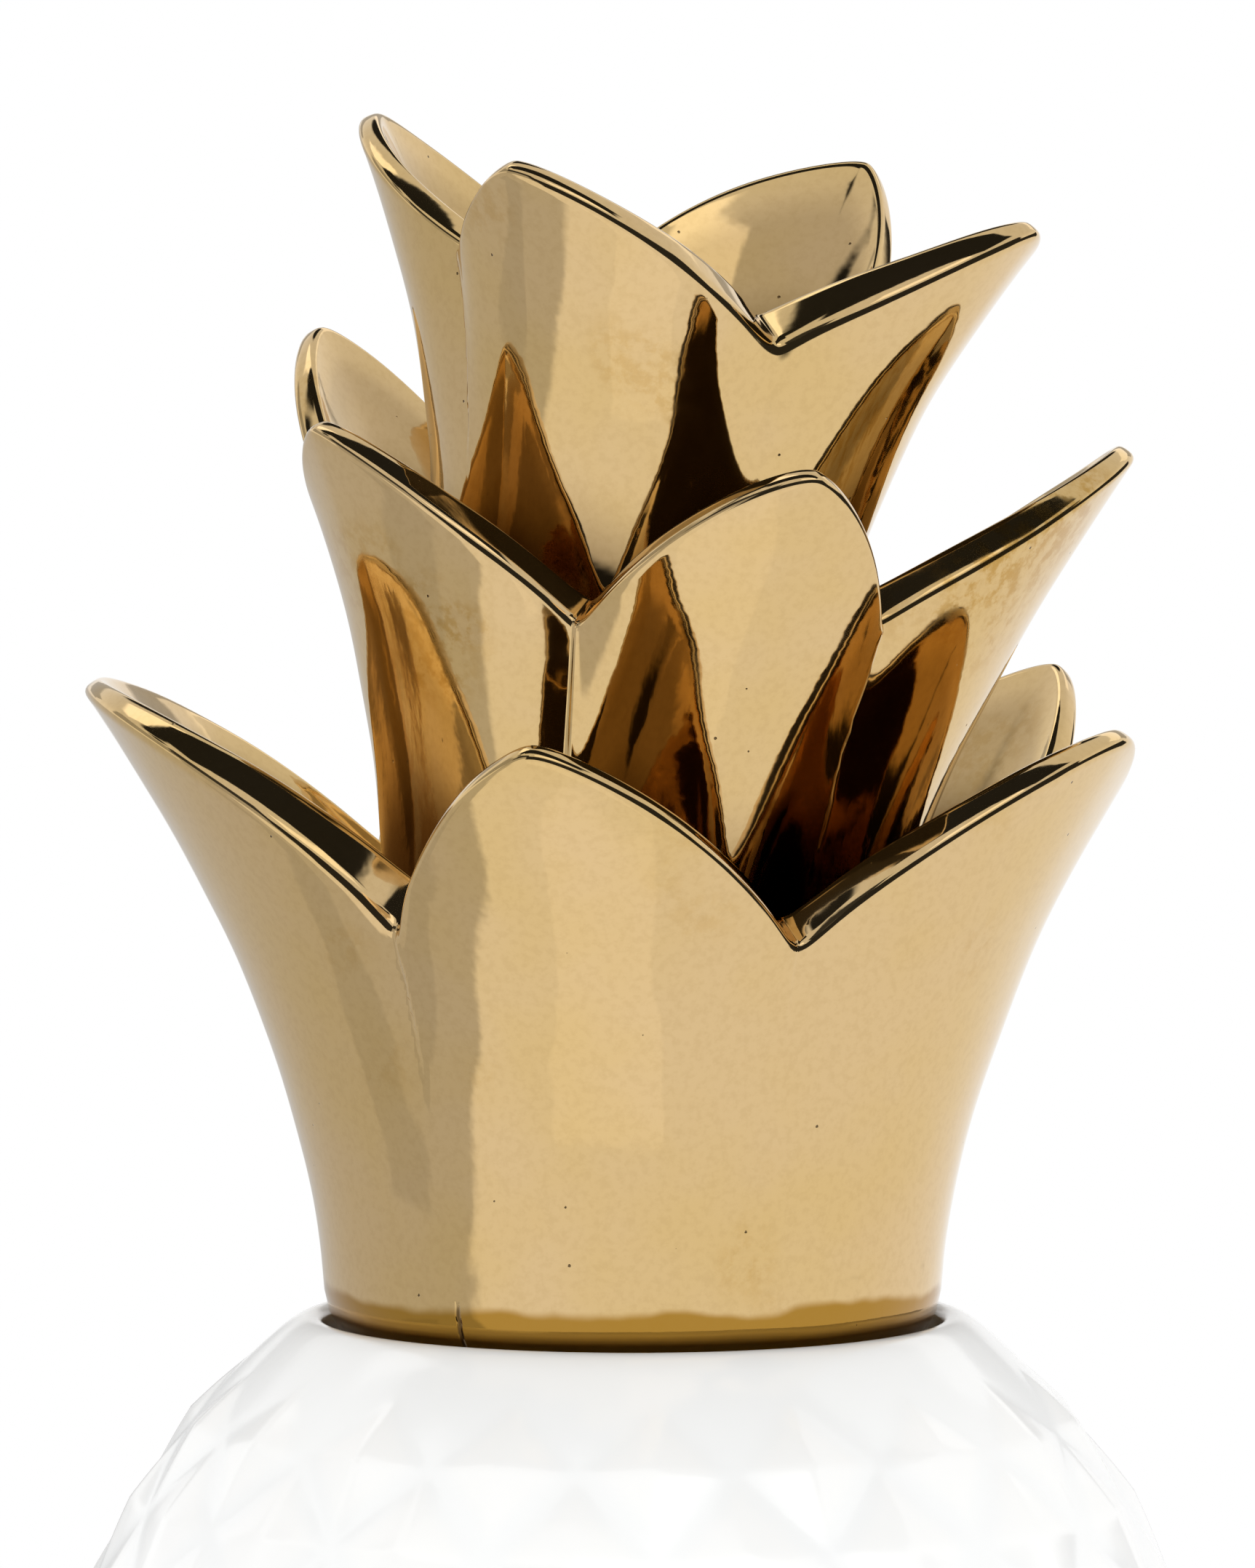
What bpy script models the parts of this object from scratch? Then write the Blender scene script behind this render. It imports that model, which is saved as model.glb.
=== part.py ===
"""Ceramic pineapple: a jar with a net of raised diamonds, and its lid, a crown of leaves in three nested tiers.

Lengths are in metres. Bearings are in degrees around the jar's axis, from the front (-Y) towards +X.
Each piece is one closed skin, laid through rings of points from a pole inside it to a pole outside it."""

from collections import namedtuple

import bmesh
import bpy
import numpy as np

# Jar
BELLY_RADIUS = 0.0588
BELLY_HEIGHT = 0.065
SHOULDER_RISE = 0.0715
BELLY_DROP = 0.084
RIM_HEIGHT = 0.125
MOUTH_RADIUS = 0.0296
LIP = 0.0012
SEAT_HEIGHT = 0.1205
NECK_RADIUS = 0.025
NECK_BOTTOM = 0.1165
JAR_WALL = 0.0045
FOOT_RADIUS = 0.036
FOOT_INNER_RADIUS = 0.031
FOOT_RECESS = 0.0018
JAR_FLOOR = 0.006

# Diamonds: each spans two columns and two rows, and rises to a point in its middle
DIAMONDS_AROUND = 18
DIAMOND_ROWS = 12
DIAMOND_TOP = 0.121
DIAMOND_BOTTOM = 0.003
DIAMOND_RELIEF = 0.0014
DIAMOND_BEARING = 3.0

# Lid
LID_GAP = 0.0003
BASE_BOTTOM = SEAT_HEIGHT + LID_GAP
BASE_RADIUS = 0.0286
BASE_CORNER = 0.001
BASE_TUCK_TOP = 0.131
FLANGE_RADIUS = 0.0242
FLANGE_WALL = 0.0035
FLANGE_BOTTOM = 0.113
RIM_WALL_AT_TIP = 0.0023
RIM_WALL_AT_NOTCH = 0.0034
FLOOR_WALL = 0.0042
TROUGH_DIP = 0.001
CROWN_COLUMNS = 60

# How sharply a leaf's rim turns over its tip and through its notch, and how straight it falls between them
TIP_ROUNDING = 0.05
NOTCH_ROUNDING = 0.06
RIM_FALL = 1.35

# A leaf has a tip at a bearing and a height, a share of its tier's reach, and a notch on its +bearing side
Leaf = namedtuple("Leaf", "bearing tip reach notch_bearing notch")


class Tier:
    """A flared wall whose rim rises to the tip of each leaf and dips to a notch between leaves.

    Its heights are counted from its root, and it leans towards +X about its root."""

    def __init__(self, root, lean, radius, reach, height, flare, cup, leaves):
        self.root = root
        self.lean = np.radians(lean)
        self.radius = radius
        self.reach = reach
        self.height = height
        self.flare = flare
        self.cup = cup
        self.tips = np.array([leaf.tip for leaf in leaves])
        self.notches = np.array([leaf.notch for leaf in leaves])
        self.reaches = np.array([leaf.reach for leaf in leaves])
        lines = [bearing for leaf in leaves for bearing in (leaf.bearing, leaf.notch_bearing)]
        self.lines = np.array(lines + [lines[0] + 360.0])

    def halves(self, bearing):
        """For each bearing: 0 on a tip to 1 in a notch, and that half leaf's tip, notch and reach."""
        count = len(self.tips)
        turned = self.lines[0] + (bearing - self.lines[0]) % 360.0
        half = np.clip(np.searchsorted(self.lines, turned, side="right") - 1, 0, 2 * count - 1)
        start = self.lines[half]
        across = (turned - start) / (self.lines[half + 1] - start)
        falls = half % 2 == 0
        across = np.where(falls, across, 1.0 - across)
        leaf = ((half + 1) // 2) % count
        beside = np.where(falls, leaf + 1, leaf - 1) % count
        blend = 0.5 * across**2 * (3.0 - 2.0 * across)
        reach = self.reaches[leaf] * (1.0 - blend) + self.reaches[beside] * blend
        left = 1.0 - across
        full = np.hypot(1.0, NOTCH_ROUNDING) - NOTCH_ROUNDING
        across = 1.0 - (np.hypot(left, NOTCH_ROUNDING) - NOTCH_ROUNDING) / full
        return across, self.tips[leaf], self.notches[(half // 2) % count], reach

    def rim(self, bearing):
        across, tip, notch, _ = self.halves(bearing)
        low = TIP_ROUNDING**RIM_FALL
        fallen = np.hypot(across, TIP_ROUNDING) ** RIM_FALL - low
        return tip + (notch - tip) * fallen / (np.hypot(1.0, TIP_ROUNDING) ** RIM_FALL - low)

    def outside(self, bearing, height):
        """Radius of the outer face, which flares with height and is drawn in below each notch."""
        across, _, notch, reach = self.halves(bearing)
        flared = self.radius + self.reach * reach * (np.clip(height, 0, None) / self.height) ** self.flare
        drawn = np.clip((height - 0.45 * notch) / (0.75 * notch), 0.0, 1.0)
        return flared - self.cup * drawn**2 * (3.0 - 2.0 * drawn) * across**2

    def normal(self, bearing, height):
        """Outward direction of the wall, as its share along the radius and along the height."""
        step = 0.0002
        slope = (self.outside(bearing, height + step) - self.outside(bearing, height - step)) / (2 * step)
        size = np.hypot(1.0, slope)
        return 1.0 / size, -slope / size

    def wall_at_rim(self, bearing):
        across = self.halves(bearing)[0]
        return RIM_WALL_AT_TIP + (RIM_WALL_AT_NOTCH - RIM_WALL_AT_TIP) * across

    def rim_edge(self, bearing):
        """Height where the outer face ends and the rim's round edge begins."""
        wall = self.wall_at_rim(bearing)
        top = self.rim(bearing)
        _, rise = self.normal(bearing, top - wall)
        return top - 0.5 * wall * (1.0 - rise)

    def ring(self, bearing, radius, height):
        turn = np.radians(bearing)
        x = radius * np.sin(turn)
        height = np.broadcast_to(height, x.shape)
        along = x * np.cos(self.lean) + height * np.sin(self.lean)
        up = height * np.cos(self.lean) - x * np.sin(self.lean)
        return np.stack([along, -radius * np.cos(turn), up + self.root], axis=1)

    def bearings(self, columns, share):
        """Bearings of the columns: evenly spaced at the root (share 0), on the leaves' lines at the rim (1)."""
        halves = len(self.lines) - 1
        starts = [round(half * columns / halves) for half in range(halves + 1)]
        at_rim = []
        for half in range(halves):
            width = starts[half + 1] - starts[half]
            along = np.arange(width) / width
            eased = along - np.sin(2 * np.pi * along) / (4 * np.pi)
            at_rim.extend(self.lines[half] + eased * (self.lines[half + 1] - self.lines[half]))
        at_root = 360.0 * np.arange(columns) / columns - 180.0
        twice = np.array(at_rim + [bearing + 360.0 for bearing in at_rim])
        offsets = [np.mean(twice[shift:shift + columns] - at_root) for shift in range(columns)]
        turns = np.round(np.array(offsets) / 360.0) * 360.0
        shift = int(np.argmin(np.abs(np.array(offsets) - turns)))
        at_rim = twice[shift:shift + columns] - turns[shift]
        return at_root + (at_rim - at_root) * share


LOW = Tier(root=0.123, lean=0.0, radius=0.0293, reach=0.0229, height=0.062, flare=1.86, cup=0.0032, leaves=[
    Leaf(-86, 0.0623, 0.96, -35, 0.0458),
    Leaf(-11, 0.0608, 1.00, 22, 0.0431),
    Leaf(70, 0.0595, 1.00, 106, 0.0420),
    Leaf(129, 0.0618, 1.14, 170, 0.0420),
    Leaf(199, 0.0610, 1.00, 231, 0.0400),
])
MIDDLE = Tier(root=0.160, lean=6.7, radius=0.0240, reach=0.0188, height=0.052, flare=1.54, cup=0.0030, leaves=[
    Leaf(-62, 0.0481, 1.04, -18, 0.0347),
    Leaf(16, 0.0503, 1.00, 38, 0.0377),
    Leaf(88, 0.0534, 0.95, 140, 0.0320),
    Leaf(170, 0.0460, 0.95, 200, 0.0320),
    Leaf(236, 0.0543, 1.11, 268, 0.0340),
])
TOP = Tier(root=0.193, lean=9.0, radius=0.0200, reach=0.0116, height=0.038, flare=1.75, cup=0.0022, leaves=[
    Leaf(-32, 0.0416, 1.11, 16, 0.0290),
    Leaf(70, 0.0426, 1.06, 128, 0.0290),
    Leaf(151, 0.0439, 0.99, 205, 0.0290),
    Leaf(256, 0.0422, 1.04, 305, 0.0324),
])

# Heights of the floors inside each tier, from the tier's own root, and of the next tier's foot from its root
LOW_FLOOR = 0.0315
MIDDLE_FLOOR = 0.0245
CUP_FLOOR = 0.0080
MIDDLE_FOOT = -0.0035
TOP_FOOT = -0.0050

# Hollow under the crown: radius and height, in the low tier's frame and then in the middle tier's
LOW_HOLLOW = [(0.0240, 0.0270), (0.0245, 0.0215), (0.0245, 0.0050), (0.0232, 0.0)]
MIDDLE_HOLLOW = [(0.0070, 0.0300), (0.0130, 0.0275), (0.0155, 0.0235), (0.0160, 0.0190), (0.0190, 0.0140),
                 (0.0192, 0.0), (0.0215, -0.0055)]


def skin(name, rings, material, diamonds=range(0)):
    """One closed mesh through the rings; a ring of one point is a pole. In the diamond gaps each four-sided
    face is split along the valley between two diamonds."""
    mesh = bpy.data.meshes.new(name)
    bm = bmesh.new()
    rows = [[bm.verts.new(point) for point in ring] for ring in rings]
    for gap, (above, below) in enumerate(zip(rows, rows[1:])):
        count = max(len(above), len(below))
        for column in range(count):
            beside = (column + 1) % count
            if len(above) == 1:
                bm.faces.new([above[0], below[column], below[beside]])
            elif len(below) == 1:
                bm.faces.new([above[column], below[0], above[beside]])
            elif gap not in diamonds:
                bm.faces.new([above[column], below[column], below[beside], above[beside]])
            elif (gap - diamonds.start + column) % 2 == 0:
                bm.faces.new([above[column], below[column], below[beside]])
                bm.faces.new([above[column], below[beside], above[beside]])
            else:
                bm.faces.new([above[column], below[column], above[beside]])
                bm.faces.new([above[beside], below[column], below[beside]])
    bmesh.ops.recalc_face_normals(bm, faces=bm.faces)
    bm.to_mesh(mesh)
    bm.free()
    mesh.shade_smooth()
    mesh.set_sharp_from_angle(angle=np.radians(40))
    mesh.materials.append(material)
    thing = bpy.data.objects.new(name, mesh)
    bpy.context.scene.collection.objects.link(thing)
    return thing


def glaze(name, colour, metallic, roughness):
    material = bpy.data.materials.new(name)
    material.use_nodes = True
    shader = material.node_tree.nodes["Principled BSDF"]
    shader.inputs["Base Color"].default_value = (*colour, 1.0)
    shader.inputs["Metallic"].default_value = metallic
    shader.inputs["Roughness"].default_value = roughness
    return material


def turned(bearing, radius, height):
    turn = np.radians(bearing)
    radius = np.broadcast_to(radius, turn.shape)
    height = np.broadcast_to(height, turn.shape)
    return np.stack([radius * np.sin(turn), -radius * np.cos(turn), height], axis=1)


def outline(height):
    """Radius of the jar's outer face, a quarter ellipse above the belly and another below it."""
    reach = SHOULDER_RISE if height > BELLY_HEIGHT else BELLY_DROP
    return BELLY_RADIUS * np.sqrt(1.0 - ((height - BELLY_HEIGHT) / reach) ** 2)


def outline_normal(height):
    reach = SHOULDER_RISE if height > BELLY_HEIGHT else BELLY_DROP
    across = outline(height) / BELLY_RADIUS**2
    up = (height - BELLY_HEIGHT) / reach**2
    size = np.hypot(across, up)
    return across / size, up / size


def outline_heights(top, bottom, count):
    """Heights that cut the outline into lengths in proportion to its radius, so that diamonds keep their shape."""
    fine = np.linspace(top, bottom, 400)
    radii = np.array([outline(height) for height in fine])
    length = np.hypot(np.diff(radii), np.diff(fine))
    along = np.concatenate([[0.0], np.cumsum(2.0 * length / (radii[1:] + radii[:-1]))])
    return np.interp(np.linspace(0.0, along[-1], count), along, fine)


def jar_rings():
    columns = 2 * DIAMONDS_AROUND
    bearing = DIAMOND_BEARING + 360.0 * np.arange(columns) / columns
    rings = [np.array([[0.0, 0.0, JAR_FLOOR]]), turned(bearing, 0.030, JAR_FLOOR)]
    for height in outline_heights(0.006, 0.117, 10):
        across, up = outline_normal(height)
        rings.append(turned(bearing, outline(height) - JAR_WALL * across, height - JAR_WALL * up))
    rings.append(turned(bearing, NECK_RADIUS, NECK_BOTTOM))
    rings.append(turned(bearing, NECK_RADIUS, SEAT_HEIGHT))
    rings.append(turned(bearing, MOUTH_RADIUS, SEAT_HEIGHT))
    rings.append(turned(bearing, MOUTH_RADIUS, RIM_HEIGHT - LIP))
    rings.append(turned(bearing, MOUTH_RADIUS + LIP, RIM_HEIGHT))
    rings.append(turned(bearing, outline(RIM_HEIGHT), RIM_HEIGHT - 0.5 * LIP))
    first = len(rings)
    for row, height in enumerate(outline_heights(DIAMOND_TOP, DIAMOND_BOTTOM, DIAMOND_ROWS + 1)):
        inside = 0 < row < DIAMOND_ROWS
        raised = DIAMOND_RELIEF * inside * ((np.arange(columns) + row) % 2)
        across, up = outline_normal(height)
        rings.append(turned(bearing, outline(height) + raised * across, height + raised * up))
    diamonds = range(first, len(rings) - 1)
    rings.append(turned(bearing, FOOT_RADIUS + 0.0012, 0.0008))
    rings.append(turned(bearing, FOOT_RADIUS, 0.0))
    rings.append(turned(bearing, FOOT_INNER_RADIUS, 0.0))
    rings.append(turned(bearing, FOOT_INNER_RADIUS - 0.001, FOOT_RECESS))
    rings.append(np.array([[0.0, 0.0, FOOT_RECESS]]))
    return rings, diamonds


def tier_rings(tier, columns, foot, floor, outer_rows, inner_rows, rim_rows=3):
    """Up the tier's outer face from its foot, over its round rim and down its inner face to its floor."""
    rings = []
    for share in np.linspace(0.0, 1.0, outer_rows):
        bearing = tier.bearings(columns, share)
        height = foot + share * (tier.rim_edge(bearing) - foot)
        rings.append(tier.ring(bearing, tier.outside(bearing, height), height))
    bearing = tier.bearings(columns, 1.0)
    edge = tier.rim_edge(bearing)
    half = 0.5 * tier.wall_at_rim(bearing)
    across, up = tier.normal(bearing, edge)
    for turn in np.pi * np.arange(1, rim_rows + 1) / (rim_rows + 1):
        out, over = half * (np.cos(turn) - 1.0), half * np.sin(turn)
        rings.append(tier.ring(bearing, tier.outside(bearing, edge) + out * across - over * up,
                               edge + out * up + over * across))
    for share in np.linspace(1.0, 0.0, inner_rows):
        bearing = tier.bearings(columns, share)
        height = floor + share * (tier.rim_edge(bearing) - floor)
        wall = FLOOR_WALL + share * (tier.wall_at_rim(bearing) - FLOOR_WALL)
        across, up = tier.normal(bearing, height)
        rings.append(tier.ring(bearing, tier.outside(bearing, height) - wall * across, height - wall * up))
    return rings


def lid_rings(columns):
    even = LOW.bearings(columns, 0.0)
    rings = [MIDDLE.ring(np.zeros(1), np.zeros(1), 0.031)]
    rings += [MIDDLE.ring(even, radius, height) for radius, height in MIDDLE_HOLLOW]
    rings += [LOW.ring(even, radius, height) for radius, height in LOW_HOLLOW]
    rings.append(turned(even, FLANGE_RADIUS - FLANGE_WALL, BASE_BOTTOM))
    rings.append(turned(even, FLANGE_RADIUS - FLANGE_WALL, FLANGE_BOTTOM))
    rings.append(turned(even, FLANGE_RADIUS, FLANGE_BOTTOM))
    rings.append(turned(even, FLANGE_RADIUS, BASE_BOTTOM))
    rings.append(turned(even, BASE_RADIUS - BASE_CORNER, BASE_BOTTOM))
    rings.append(turned(even, BASE_RADIUS, BASE_BOTTOM + BASE_CORNER))
    low = tier_rings(LOW, columns, BASE_TUCK_TOP - LOW.root, LOW_FLOOR, 6, 4)
    middle = tier_rings(MIDDLE, columns, MIDDLE_FOOT, MIDDLE_FLOOR, 5, 4)
    top = tier_rings(TOP, columns, TOP_FOOT, CUP_FLOOR, 5, 4)
    dip = np.array([0.0, 0.0, TROUGH_DIP])
    rings += low + [0.5 * (low[-1] + middle[0]) - dip]
    rings += middle + [0.5 * (middle[-1] + top[0]) - dip]
    rings += top
    rings.append(TOP.ring(TOP.bearings(columns, 0.0), np.full(columns, 0.0085), CUP_FLOOR - 0.0015))
    rings.append(TOP.ring(np.zeros(1), np.zeros(1), CUP_FLOOR - 0.002))
    return rings


def main():
    for thing in list(bpy.data.objects):
        bpy.data.objects.remove(thing)
    white = glaze("white glaze", (0.86, 0.86, 0.85), 0.0, 0.08)
    gold = glaze("gold lustre", (0.70, 0.50, 0.25), 1.0, 0.12)
    rings, diamonds = jar_rings()
    skin("jar_body", rings, white, diamonds)
    skin("crown_lid", lid_rings(CROWN_COLUMNS), gold)


main()
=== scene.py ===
# %% [markdown]
# # A ceramic pineapple with a gold crown
#
# The object is a white glazed jar, shaped like a pineapple, and its lid, a crown of leaves fired with gold
# lustre. The solid model that this script loads has the true sizes and the hidden parts. The script gives
# both pieces finer skins, with the soft edges and the uneven surface that slip casting and glazing leave,
# and then the glazes, the light and the camera of the photograph.

import bmesh
import bpy
import numpy as np
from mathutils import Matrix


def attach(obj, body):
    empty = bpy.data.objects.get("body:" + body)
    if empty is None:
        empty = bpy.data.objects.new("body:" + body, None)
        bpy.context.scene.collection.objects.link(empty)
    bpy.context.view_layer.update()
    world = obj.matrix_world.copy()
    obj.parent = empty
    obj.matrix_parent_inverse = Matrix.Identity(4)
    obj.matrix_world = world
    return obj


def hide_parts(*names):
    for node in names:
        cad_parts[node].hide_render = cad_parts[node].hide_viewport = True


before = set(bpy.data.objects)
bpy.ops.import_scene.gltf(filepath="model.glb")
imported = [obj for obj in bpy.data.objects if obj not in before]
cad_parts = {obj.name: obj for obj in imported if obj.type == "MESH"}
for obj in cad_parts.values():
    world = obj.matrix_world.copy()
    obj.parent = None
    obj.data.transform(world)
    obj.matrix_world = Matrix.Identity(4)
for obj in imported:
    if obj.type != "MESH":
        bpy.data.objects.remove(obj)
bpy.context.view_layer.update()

# %% [markdown]
# ## The shape of a leaf tier
#
# The crown is three flared walls, one inside another. Each wall is a ring of leaves grown together: its rim
# rises to the tip of every leaf and falls to a notch between two leaves. Each tier is a rule: a radius for
# every bearing and height, and a rim height for every bearing. Bearings are in degrees from the front (-Y)
# towards +X. The tiers stand, lean and flare as in the solid model. To follow the photograph more closely,
# a few tips and notches are moved by some degrees or millimetres, the folds of the upper tiers are up to
# about 3 mm deeper, and the edges at the notches are up to 3.2 mm broader.

# %% Say what one tier is
from collections import namedtuple

# How sharply a rim turns over a tip and through a notch, how thick the wall is at its edge and at its
# floor, and the share of the edge's breadth that each of its corners is rounded over
TIP_ROUNDING = 0.05
NOTCH_ROUNDING = 0.06
RIM_WALL_AT_TIP = 0.0023
RIM_ROUNDING_AT_TIP = 0.42
RIM_ROUNDING_AT_NOTCH = 0.20
FLOOR_WALL = 0.0046
# Half a leaf folds in fully if it is at least this many degrees wide; the fold is complete this far up, as
# a share of the notch's height; how sharply a keel turns; and how closely, as a power, a cut's crease and
# its own slope keep to the notch
FULL_FOLD_WIDTH = 44.0
FOLD_TOP = 1.2
KEEL_ROUNDING = 0.05
CUT_NEARNESS = 12

# A leaf has a tip at a bearing and a height, a share of its tier's reach, a notch on its +bearing side, and
# a fall: near 1 its rim runs straight down to the notch, and near 2 it stays high and round beside the tip
Leaf = namedtuple("Leaf", "bearing tip reach notch_bearing notch fall", defaults=[1.35])

# The rim's edge at a notch: how broad it is, how much it slopes outward on the leaf's own side and on the
# next leaf's, how fast the breadth fades up each of them, and how deep the outer corner is creased
Cut = namedtuple("Cut", "wall slope next_slope own_side next_side crease")


class Tier:
    """A flared wall of leaves. Its heights are counted from its root, about which it leans towards +X."""

    def __init__(self, root, lean, radius, reach, height, flare, cup, keel, fold_foot, leaves, cuts):
        self.root = root
        self.lean = np.radians(lean)
        self.radius = radius
        self.reach = reach
        self.height = height
        self.flare = flare
        self.keel = keel
        self.fold_foot = fold_foot
        self.cuts = np.array(cuts)
        self.falls = np.array([leaf.fall for leaf in leaves])
        self.tips = np.array([leaf.tip for leaf in leaves])
        self.notches = np.array([leaf.notch for leaf in leaves])
        self.reaches = np.array([leaf.reach for leaf in leaves])
        lines = [bearing for leaf in leaves for bearing in (leaf.bearing, leaf.notch_bearing)]
        self.lines = np.array(lines + [lines[0] + 360.0])
        self.folds = cup * np.clip(np.diff(self.lines) / FULL_FOLD_WIDTH, 0.0, 1.0)

    def halves(self, bearing):
        """For each bearing: 0 on a tip to 1 in a notch, and which half, leaf and notch it is in."""
        count = len(self.tips)
        turned = self.lines[0] + (bearing - self.lines[0]) % 360.0
        half = np.clip(np.searchsorted(self.lines, turned, side="right") - 1, 0, 2 * count - 1)
        start = self.lines[half]
        across = (turned - start) / (self.lines[half + 1] - start)
        falls = half % 2 == 0
        across = np.where(falls, across, 1.0 - across)
        leaf = ((half + 1) // 2) % count
        left = 1.0 - across
        full = np.hypot(1.0, NOTCH_ROUNDING) - NOTCH_ROUNDING
        across = 1.0 - (np.hypot(left, NOTCH_ROUNDING) - NOTCH_ROUNDING) / full
        return np.clip(across, 0.0, 1.0), half, leaf, (half // 2) % count

    def rim(self, bearing):
        across, _, leaf, notch = self.halves(bearing)
        fall = self.falls[leaf]
        low = TIP_ROUNDING**fall
        fallen = (np.hypot(across, TIP_ROUNDING) ** fall - low) / (np.hypot(1.0, TIP_ROUNDING) ** fall - low)
        return self.tips[leaf] + (self.notches[notch] - self.tips[leaf]) * fallen

    def reach_at(self, bearing):
        """The leaf's share of the tier's reach, blended with its neighbour's towards the notch."""
        across, _, leaf, notch = self.halves(bearing)
        beside = np.where(notch == leaf, leaf + 1, leaf - 1) % len(self.tips)
        blend = 0.5 * across**2 * (3.0 - 2.0 * across)
        return self.reaches[leaf] * (1.0 - blend) + self.reaches[beside] * blend

    def outside(self, bearing, height):
        """Radius of the outer face, which flares upwards, keeled under tips and folded in below notches."""
        across, half, _, notch = self.halves(bearing)
        reach = self.reach * self.reach_at(bearing)
        flared = self.radius + reach * (np.clip(height, 0, None) / self.height) ** self.flare
        above_foot = height / self.notches[notch] - self.fold_foot
        drawn = np.clip(above_foot / (FOLD_TOP - self.fold_foot), 0.0, 1.0)
        sides = self.keel * (np.hypot(across, KEEL_ROUNDING) - KEEL_ROUNDING) + (1.0 - self.keel) * across**4
        return flared - self.folds[half] * drawn**2 * (3.0 - 2.0 * drawn) * sides

    def normal(self, bearing, height):
        """Outward direction of the wall, as its share along the radius and along the height."""
        step = 0.0002
        slope = (self.outside(bearing, height + step) - self.outside(bearing, height - step)) / (2 * step)
        size = np.hypot(1.0, slope)
        return 1.0 / size, -slope / size

    def cut_at(self, bearing):
        """How far each bearing's rim has turned from a tip's edge, 0, into a notch's cut, 1, and that cut."""
        across, _, leaf, notch = self.halves(bearing)
        wall, slope, next_slope, own_side, next_side, crease = self.cuts[notch].T
        own = notch == leaf
        near = across**CUT_NEARNESS
        slope = np.where(own, slope, next_slope + (slope - next_slope) * near)
        return across ** np.where(own, own_side, next_side), wall, slope, crease * near

    def wall_at_rim(self, bearing):
        share, broad, _, _ = self.cut_at(bearing)
        return RIM_WALL_AT_TIP + (broad - RIM_WALL_AT_TIP) * share

    def rim_profile(self, bearing):
        """The wall at the rim, its corners' rounding, and the heights of its outer and inner corners."""
        share, _, slope, crease = self.cut_at(bearing)
        wall = self.wall_at_rim(bearing)
        rounding = RIM_ROUNDING_AT_TIP + (RIM_ROUNDING_AT_NOTCH - RIM_ROUNDING_AT_TIP) * share
        return wall, rounding * wall, 0.5 * wall, (0.5 + slope * share + crease) * wall

    def rim_edge(self, bearing):
        """Height where the outer face ends and the rim's edge begins."""
        wall, rounding, _, inner = self.rim_profile(bearing)
        top = self.rim(bearing)
        across, rise = self.normal(bearing, top - wall)
        return top - inner * across + wall * rise + 0.25 * rounding

    def ring(self, bearing, radius, height):
        turn = np.radians(bearing)
        x = radius * np.sin(turn)
        height = np.broadcast_to(height, x.shape)
        along = x * np.cos(self.lean) + height * np.sin(self.lean)
        up = height * np.cos(self.lean) - x * np.sin(self.lean)
        return np.stack([along, -radius * np.cos(turn), up + self.root], axis=1)

    def bearings(self, columns, share):
        """Bearings of the columns: evenly spaced at the root, share 0, on the leaves' lines at the rim, 1."""
        halves = len(self.lines) - 1
        starts = [round(half * columns / halves) for half in range(halves + 1)]
        at_rim = []
        for half in range(halves):
            width = starts[half + 1] - starts[half]
            along = np.arange(width) / width
            eased = along - np.sin(2 * np.pi * along) / (4 * np.pi)
            at_rim.extend(self.lines[half] + eased * (self.lines[half + 1] - self.lines[half]))
        at_root = 360.0 * np.arange(columns) / columns - 180.0
        twice = np.array(at_rim + [bearing + 360.0 for bearing in at_rim])
        offsets = [np.mean(twice[shift:shift + columns] - at_root) for shift in range(columns)]
        turns = np.round(np.array(offsets) / 360.0) * 360.0
        shift = int(np.argmin(np.abs(np.array(offsets) - turns)))
        at_rim = twice[shift:shift + columns] - turns[shift]
        return at_root + (at_rim - at_root) * share


# %% The leaves of the three tiers
LOW = Tier(
    root=0.123, lean=0.0, radius=0.0293, reach=0.0229, height=0.062, flare=1.86,
    cup=0.0032, keel=0.15, fold_foot=0.45,
    leaves=[Leaf(-87, 0.0632, 1.01, -35, 0.0458, 2.2), Leaf(-11, 0.0608, 1.00, 24.5, 0.0431, 1.25),
            Leaf(70, 0.0595, 1.00, 106, 0.0420, 1.8), Leaf(129, 0.0618, 1.14, 170, 0.0420),
            Leaf(199, 0.0610, 1.00, 220, 0.0440)],
    cuts=[Cut(0.0062, -0.04, -0.04, 1.1, 2.5, 0.45), Cut(0.0050, 0.04, 0.0, 3.0, 1.4, 0.20),
          Cut(0.0036, -0.10, -0.10, 1.5, 1.5, 0.0), Cut(0.0036, -0.10, -0.10, 1.5, 1.5, 0.0),
          Cut(0.0036, -0.10, -0.10, 1.5, 1.2, 0.0)])
MIDDLE = Tier(
    root=0.160, lean=6.7, radius=0.0240, reach=0.0188, height=0.052, flare=1.54,
    cup=0.0048, keel=0.50, fold_foot=0.20,
    leaves=[Leaf(-62, 0.0481, 1.04, -18, 0.0347), Leaf(16, 0.0503, 1.00, 38, 0.0377),
            Leaf(88, 0.0534, 0.95, 140, 0.0320), Leaf(170, 0.0460, 0.95, 200, 0.0320),
            Leaf(236, 0.0543, 1.11, 268, 0.0340)],
    cuts=[Cut(0.0048, 0.0, 0.06, 0.8, 2.0, 0.2), Cut(0.0044, 0.06, 0.06, 2.0, 1.0, 0.2),
          Cut(0.0032, -0.10, -0.10, 1.5, 1.5, 0.0), Cut(0.0032, -0.10, -0.10, 1.5, 1.5, 0.0),
          Cut(0.0034, -0.10, -0.10, 1.5, 1.5, 0.0)])
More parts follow.
